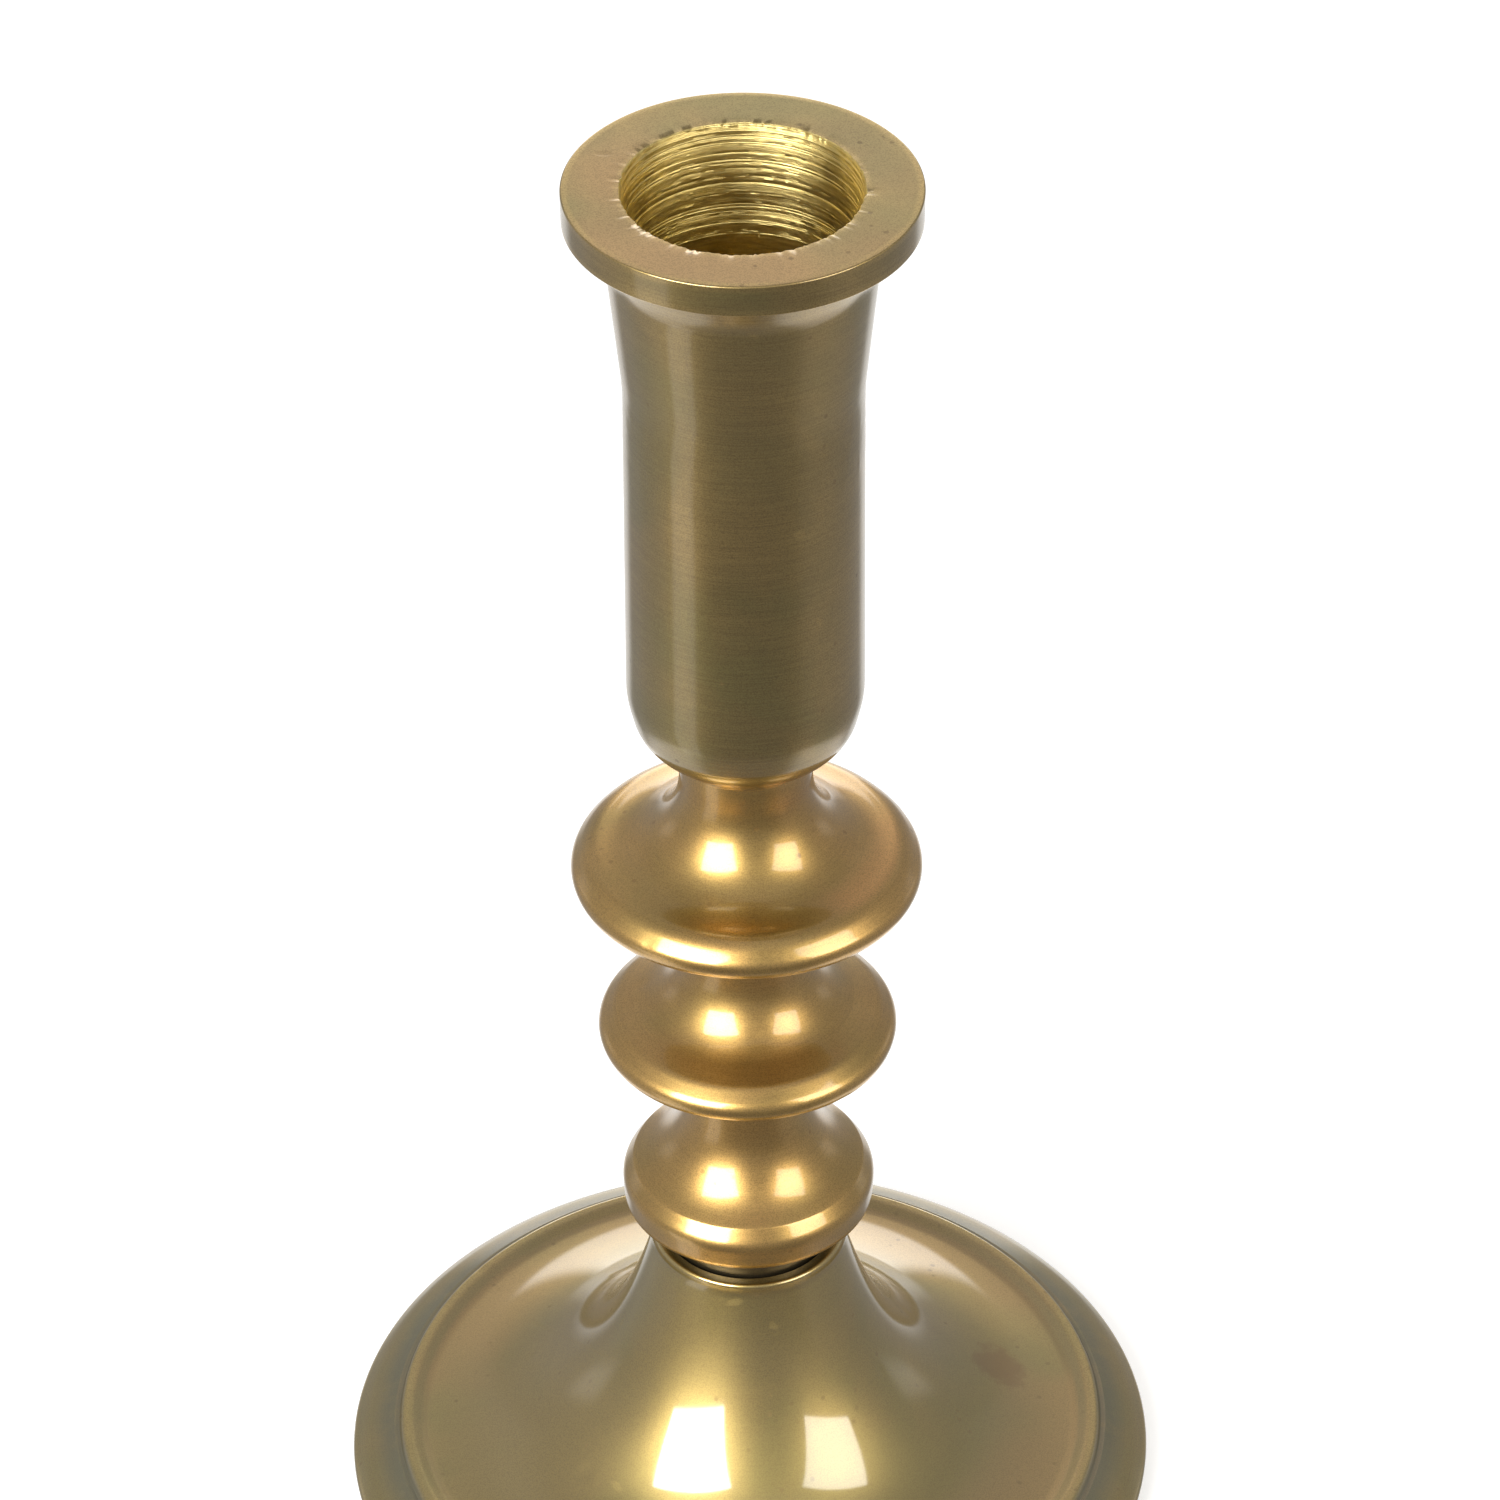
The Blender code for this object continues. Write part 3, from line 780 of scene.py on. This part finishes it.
def base_foot(material, inside):
    """The foot: trumpet, dish, ridge, groove, band and rim outside, and a dull hollow inside."""
    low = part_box("base_foot")[0]
    points = [
        FOOT_RECESS,
        (FOOT_RECESS[0], FOOT_NECK[1], 0.12),
        (*FOOT_NECK, 0.35),
        *[tuple(point[:2]) for point in foot_curve()],
        (35.9, 4.85, 1.4),
        (36.9, 4.85, 0.42),
        (37.3, 4.1, 0.15),
        (37.8, 4.1, 0.25),
        (40.8, 2.6, 5.0),
        (42.9, 0.75, 0.9),
        (41.6, 0, 0.2),
        (FOOT_LAND[0], 0, 0.2),
        FOOT_LAND,
        *foot_hollow(),
        FOOT_WEB,
        (ROD_HOLE, FOOT_WEB[1]),
        (ROD_HOLE, FOOT_RECESS[1]),
    ]
    piece = turned("turned_base_foot", points, low.z, [material, inside], segments=360)
    hand_finish(piece, 0.045, 16.0, 5)
    dents(piece, 16, 11, low.z + 1.0 * MM)
    for face in piece.data.polygons:
        outward = face.normal.dot(face.center - Vector((0, 0, low.z - UNDER_FOOT * MM)))
        radius = math.hypot(face.center.x, face.center.y)
        if outward < 0 and radius < FOOT_LAND[0] * MM + 0.1 * MM and radius > ROD_HOLE * MM:
            face.material_index = 1
    shade(piece)
    place(piece, "base_foot", "foot_brass")
    return piece


ROD_THREAD_PITCH = 1.0
ROD_THREAD_DEPTH = 0.55
ROD_THREAD_LENGTH = 15.0
ROD_RADIUS = 3.0
ROD_CHAMFER = 0.6


def tie_rod(steel):
    """The rod, with a real helical thread cut on the end that the nut is on."""
    low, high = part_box("tie_rod")
    length = (high.z - low.z) / MM
    step = ROD_THREAD_PITCH / 10
    rows = math.ceil(ROD_THREAD_LENGTH / step)
    side = [(ROD_RADIUS, row * step) for row in range(rows)]
    top = [(ROD_RADIUS, length - ROD_CHAMFER), (ROD_RADIUS - ROD_CHAMFER, length), (0, length)]
    points = [(0, 0), *side, *top]
    piece = turned("threaded_tie_rod", points, low.z, [steel], segments=72, longest=2.0)
    places, _ = mesh_points(piece)
    radii = np.linalg.norm(places[:, :2], axis=1)
    heights = (places[:, 2] - low.z) / MM
    turn = np.arctan2(places[:, 1], places[:, 0]) / TURN
    phase = (heights / ROD_THREAD_PITCH - turn) % 1.0
    groove = np.clip(1.35 - np.abs(phase - 0.5) * 3.4, 0, 1) * ROD_THREAD_DEPTH
    groove *= np.clip((ROD_THREAD_LENGTH - heights) / ROD_THREAD_PITCH, 0, 1)
    ends = np.clip(ROD_CHAMFER - heights, 0, ROD_CHAMFER)
    radius = ROD_RADIUS - np.maximum(groove, ends)
    outside = radii > (ROD_RADIUS - 0.01) * MM
    scale = np.where(outside & (heights < ROD_THREAD_LENGTH), radius * MM / np.maximum(radii, 1e-9), 1.0)
    places[:, :2] *= scale[:, None]
    set_points(piece, places)
    shade(piece)
    place(piece, "tie_rod", "steel")


def plain_washer(steel):
    """A punched washer: rolled over on one edge and nearly sharp on the other."""
    low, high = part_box("plain_washer")
    thickness = (high.z - low.z) / MM
    radius = high.x / MM
    points = [
        (ROD_HOLE, 0, 0.25),
        (radius, 0, 0.35),
        (radius, thickness - 0.06, 0.05),
        (radius - 0.2, thickness, 0.05),
        (ROD_HOLE + 0.15, thickness, 0.05),
        (ROD_HOLE, thickness - 0.08, 0.05),
    ]
    piece = turned("punched_plain_washer", points, low.z, [steel], segments=120)
    hand_finish(piece, 0.02, 3.0, 8)
    shade(piece)
    place(piece, "plain_washer", "steel")


WIRE_ROUNDING = 0.22
SPLIT_HALF_ANGLE = math.radians(6)
SPLIT_STEPS = 110


def spring_washer(steel):
    """A split ring of rounded square wire, whose cut ends stand slightly apart."""
    low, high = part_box("spring_washer")
    outer = high.y / MM
    middle = Vector(((ROD_HOLE + outer) / 2, (high.z - low.z) / MM / 2))
    corner = Vector(((outer - ROD_HOLE) / 2, middle.y))
    square = [
        (middle.x + across * corner.x, middle.y + above * corner.y, WIRE_ROUNDING)
        for across, above in ((-1, -1), (1, -1), (1, 1), (-1, 1))
    ]
    outline = rounded_outline(square)
    ring = bmesh.new()
    sections = []
    for step in range(SPLIT_STEPS + 1):
        angle = SPLIT_HALF_ANGLE + (TURN - 2 * SPLIT_HALF_ANGLE) * step / SPLIT_STEPS
        direction = Vector((math.cos(angle), math.sin(angle), 0))
        up = Vector((0, 0, 1))
        sections.append([ring.verts.new((direction * p.x + up * p.y) * MM + up * low.z) for p in outline])
    for here, ahead in zip(sections, sections[1:]):
        for side, vertex in enumerate(here):
            following = (side + 1) % len(here)
            ring.faces.new((vertex, here[following], ahead[following], ahead[side]))
    ring.faces.new(sections[0])
    ring.faces.new(sections[-1])
    bmesh.ops.recalc_face_normals(ring, faces=ring.faces)
    mesh = bpy.data.meshes.new("split_spring_washer")
    ring.to_mesh(mesh)
    ring.free()
    mesh.materials.append(steel)
    piece = bpy.data.objects.new("split_spring_washer", mesh)
    bpy.context.collection.objects.link(piece)
    shade(piece)
    place(piece, "spring_washer", "steel")


NUT_CHAMFER = (0.2, 0.9)
NUT_EDGE_BEVEL = 0.12
NUT_BORE = ROD_RADIUS + 0.05
NUT_BORE_CHAMFER = 0.5


def hex_nut(steel):
    """A hexagon whose corners a turned blank chamfers, with a plain bore and eased edges."""
    low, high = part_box("hex_nut")
    height = (high.z - low.z) / MM
    corner = max(high.x, high.y) / MM
    flat = corner * math.cos(TURN / 12)
    blank_points = [
        (NUT_BORE + NUT_BORE_CHAMFER, 0),
        (flat - NUT_CHAMFER[0], 0),
        (corner + NUT_CHAMFER[0], NUT_CHAMFER[1]),
        (corner + NUT_CHAMFER[0], height - NUT_CHAMFER[1]),
        (flat - NUT_CHAMFER[0], height),
        (NUT_BORE + NUT_BORE_CHAMFER, height),
        (NUT_BORE, height - NUT_BORE_CHAMFER),
        (NUT_BORE, NUT_BORE_CHAMFER),
    ]
    blank = turned("nut_blank", blank_points, low.z, [steel], segments=96)
    hexagon = bmesh.new()
    bmesh.ops.create_cone(
        hexagon,
        cap_ends=True,
        segments=6,
        radius1=corner * MM,
        radius2=corner * MM,
        depth=height * MM,
        matrix=Matrix.Translation((0, 0, low.z + height * MM / 2)),
    )
    mesh = bpy.data.meshes.new("chamfered_hex_nut")
    hexagon.to_mesh(mesh)
    hexagon.free()
    mesh.materials.append(steel)
    piece = bpy.data.objects.new("chamfered_hex_nut", mesh)
    bpy.context.collection.objects.link(piece)
    common = piece.modifiers.new("Common", "BOOLEAN")
    common.operation = "INTERSECT"
    common.solver = "EXACT"
    common.object = blank
    ease = piece.modifiers.new("Ease", "BEVEL")
    ease.width = NUT_EDGE_BEVEL * MM
    ease.segments = 3
    ease.angle_limit = math.radians(28)
    graph = bpy.context.evaluated_depsgraph_get()
    finished = bpy.data.meshes.new_from_object(piece.evaluated_get(graph), depsgraph=graph)
    piece.modifiers.clear()
    piece.data = finished
    bpy.data.objects.remove(blank)
    shade(piece, math.radians(30))
    place(piece, "hex_nut", "steel")


FELT_HOLE = 34.2
FELT_FIBRES = 5200
FELT_FIBRE_LENGTH = 0.55
FELT_FIBRE_WIDTH = 0.035


def felt_ring(felt):
    """The felt ring, cut a little unevenly, with loose fibres standing off its cut edges."""
    low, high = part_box("felt_ring")
    thickness = (high.z - low.z) / MM
    outer = high.x / MM
    points = [
        (FELT_HOLE, 0.0, 0.15),
        (outer, 0.0, 0.3),
        (outer, thickness, 0.3),
        (FELT_HOLE, thickness, 0.15),
    ]
    piece = turned("cut_felt_ring", points, low.z, [felt], segments=400, longest=0.45)
    places, normals = mesh_points(piece)
    samples = (places / (0.8 * MM)).tolist()
    coarse = (places / (6 * MM)).tolist()
    waves = np.array([noise.noise(p) * 0.09 + noise.noise(q) * 0.12 for p, q in zip(samples, coarse)])
    inward = normals * (waves - 0.16)[:, None] * MM
    inward[:, 2] *= np.where(places[:, 2] > low.z + 0.1 * MM, 0.6, 0.0)
    places = places + inward
    chance = random.Random(17)
    vertices = places.tolist()
    faces = [list(face.vertices) for face in piece.data.polygons]
    edge = np.flatnonzero((np.abs(normals[:, 2]) < 0.9) & (places[:, 2] > low.z + 0.15 * MM))
    for _ in range(FELT_FIBRES):
        index = chance.choice(edge)
        root = Vector(places[index])
        out = Vector(normals[index]) + Vector([chance.uniform(-0.9, 0.9) for _ in range(3)])
        out.z *= 0.35
        across = Vector([chance.uniform(-1, 1) for _ in range(3)]).normalized() * FELT_FIBRE_WIDTH * MM
        length = chance.uniform(0.3, 1.0) * FELT_FIBRE_LENGTH * MM
        tip = root + out.normalized() * length
        tip.z = min(max(tip.z, low.z), high.z)
        bend = (root + tip) / 2 + across * chance.uniform(-2, 2)
        first = len(vertices)
        for centre, width in ((root, 1.0), (bend, 0.8), (tip, 0.3)):
            vertices.append(tuple(centre - across * width / 2))
            vertices.append(tuple(centre + across * width / 2))
        faces.append([first, first + 1, first + 3, first + 2])
        faces.append([first + 2, first + 3, first + 5, first + 4])
    mesh = bpy.data.meshes.new("cut_felt_ring_fibres")
    mesh.from_pydata(vertices, [], faces)
    mesh.materials.append(felt)
    piece.data = mesh
    shade(piece, math.radians(60))
    place(piece, "felt_ring", "felt")


# ---------------------------------------------------------------- light, floor and camera


# One soft-edged area of the studio: the bearing of its middle (0 is the camera's side, positive to
# the right) and how far it reaches to each side, its rise from and to, the softness of its upright
# and level edges, all in degrees, and the light that it adds
Area = namedtuple("Area", "bearing reach rise_from rise_to soft_sides soft_levels light")
STUDIO = {
    "backdrop": Area(180, 12, 2, 28.5, 1.5, 1.2, 2.35),
    "backdrop_foot": Area(180, 16, -18, 2, 3, 3, 0.75),
    "above_backdrop": Area(180, 50, 29, 62, 12, 4, 0.08),
    "left_card": Area(-119, 8, -6, 9, 5, 5, 0.32),
    "right_card": Area(119, 8, -6, 9, 5, 5, 0.32),
    "left_wall": Area(-112, 42, -5, 62, 14, 14, 0.10),
    "right_wall": Area(112, 42, -5, 62, 14, 14, 0.03),
    "front_above": Area(5, 75, 52, 110, 14, 8, 0.14),
    "table_behind": Area(180, 34, -60, -16, 8, 8, 0.62),
    "table_beneath": Area(180, 118, -100, -47, 14, 3, 0.76),
    "table_left": Area(-61, 12, -52, -20, 3, 6, 0.66),
    "table_far_left": Area(-104, 26, -52, -10, 8, 8, 0.10),
    "table_front": Area(5, 50, -52, -8, 10, 8, -0.12),
}
ROOM_LIGHT = 0.33


def world():
    """A studio seen only in reflections: a bright backdrop, pale cards, a lit table with a dark front."""
    studio = bpy.data.worlds.new("studio")
    studio.use_nodes = True
    bpy.context.scene.world = studio
    graph = Graph(studio.node_tree)
    direction = graph.add("TexCoord", {}).outputs["Generated"]
    parts = graph.add("SeparateXYZ", {"Vector": direction})
    x, y, z = parts.outputs[0], parts.outputs[1], parts.outputs[2]
    bearing = graph.math("ARCTAN2", x, graph.math("MULTIPLY", y, -1.0))
    bearing = graph.math("MULTIPLY", bearing, 180 / math.pi)
    rise = graph.math("MULTIPLY", graph.math("ARCSINE", z), 180 / math.pi)
    light = ROOM_LIGHT
    for area in STUDIO.values():
        turned_away = graph.math("WRAP", graph.math("SUBTRACT", bearing, area.bearing), 180.0, -180.0)
        aside = graph.math("ABSOLUTE", turned_away)
        sides = graph.between(aside, area.reach + area.soft_sides, area.reach - area.soft_sides)
        low, high, soft = area.rise_from, area.rise_to, area.soft_levels
        share = graph.math("MULTIPLY", sides, graph.between(rise, low - soft, low + soft))
        share = graph.math("MULTIPLY", share, graph.between(rise, high + soft, high - soft))
        light = graph.math("MULTIPLY_ADD", share, area.light, light)
    seen = graph.add("LightPath", {}).outputs["Is Camera Ray"]
    nodes = studio.node_tree.nodes
    room = nodes["Background"]
    room.inputs["Color"].default_value = (1.0, 0.98, 0.95, 1.0)
    studio.node_tree.links.new(light, room.inputs["Strength"])
    pale = graph.add("Background", {"Color": (1.0, 1.0, 1.0, 1.0), "Strength": 1.0})
    both = graph.add("MixShader", {0: seen, 1: room.outputs[0], 2: pale.outputs[0]})
    studio.node_tree.links.new(both.outputs[0], nodes["World Output"].inputs["Surface"])


SOFTBOX_DISTANCE = 0.8
SOFTBOXES = {
    "left_softbox": {
        "bearing": math.radians(-37),
        "rise": math.radians(27),
        "size": (0.54, 0.54),
        "power": 9.0,
        "colour": (1.0, 0.99, 0.97),
    },
    "right_softbox": {
        "bearing": math.radians(54),
        "rise": math.radians(28),
        "size": (0.44, 0.48),
        "power": 2.7,
        "colour": (1.0, 0.97, 0.92),
    },
}


def softbox(name, bearing, rise, size, power, colour):
    """A soft light aimed at the stem; bearing 0 is the camera's side, positive to the right."""
    target = Vector((0, 0, cad_box[1].z * 0.45))
    direction = Vector((
        math.sin(bearing) * math.cos(rise),
        -math.cos(bearing) * math.cos(rise),
        math.sin(rise),
    ))
    lamp = bpy.data.lights.new(name, "AREA")
    lamp.shape = "RECTANGLE"
    lamp.size, lamp.size_y = size
    lamp.energy = power
    lamp.color = colour
    light = bpy.data.objects.new(name, lamp)
    light.location = target + direction * SOFTBOX_DISTANCE
    light.rotation_euler = (-direction).to_track_quat("-Z", "Y").to_euler()
    light.visible_camera = False
    bpy.context.collection.objects.link(light)


FLOOR_SIZE = 6.0
FLOOR_FADE = (0.15, 0.9)


def floor():
    """A pale matt floor that takes the shadow near the foot and fades into the white room further out."""
    bpy.ops.mesh.primitive_plane_add(size=FLOOR_SIZE, location=(0, 0, cad_box[0].z))
    plane = bpy.context.object
    plane.name = "floor"
    material, graph, shader = new_material("pale_floor")
    away = graph.vector("LENGTH", graph.point())
    colour = graph.mix(graph.between(away, *FLOOR_FADE), (0.8, 0.8, 0.8), (0.0, 0.0, 0.0))
    glow = graph.between(away, *FLOOR_FADE, 0.5, 1.0)
    connect(
        graph, shader,
        Base_Color=colour, Roughness=0.9, Specular_IOR_Level=0.0,
        Emission_Color=(1.0, 1.0, 1.0), Emission_Strength=glow,
    )
    plane.data.materials.append(material)
    plane.visible_glossy = False


def camera():
    lens = bpy.data.cameras.new("camera")
    lens.lens = CAMERA_LENS
    lens.sensor_width = CAMERA_SENSOR
    eye = bpy.data.objects.new("camera", lens)
    aim = Vector((CAMERA_SIDE, 0, CAMERA_AIM_HEIGHT))
    back = Vector((0, -math.cos(CAMERA_PITCH), math.sin(CAMERA_PITCH)))
    eye.location = aim + back * CAMERA_DISTANCE
    tilt = Matrix.Rotation(math.pi / 2 - CAMERA_PITCH, 3, "X")
    eye.rotation_euler = (tilt @ Matrix.Rotation(CAMERA_ROLL, 3, "Z")).to_euler()
    bpy.context.collection.objects.link(eye)
    bpy.context.scene.camera = eye


def main():
    bpy.context.scene.view_settings.view_transform = "Standard"
    camera()
    world()
    for name, settings in SOFTBOXES.items():
        softbox(name, **settings)
    floor()
    socket_brass = antique_brass("antique_socket_brass", SOCKET_FINISH)
    stem_brass = antique_brass("antique_stem_brass", STEM_FINISH)
    foot_brass = antique_brass("antique_foot_brass", FOOT_FINISH, (groove_patina, brown_stain))
    tarnished = antique_brass("tarnished_brass", TARNISHED_FINISH)
    raw = raw_brass()
    candle_socket(socket_brass, raw)
    for name in KNOPS:
        knop(name, stem_brass, tarnished)
    base_foot(foot_brass, tarnished)
    steel = zinc_steel()
    tie_rod(steel)
    plain_washer(steel)
    spring_washer(steel)
    hex_nut(steel)
    felt_ring(wool_felt())


main()
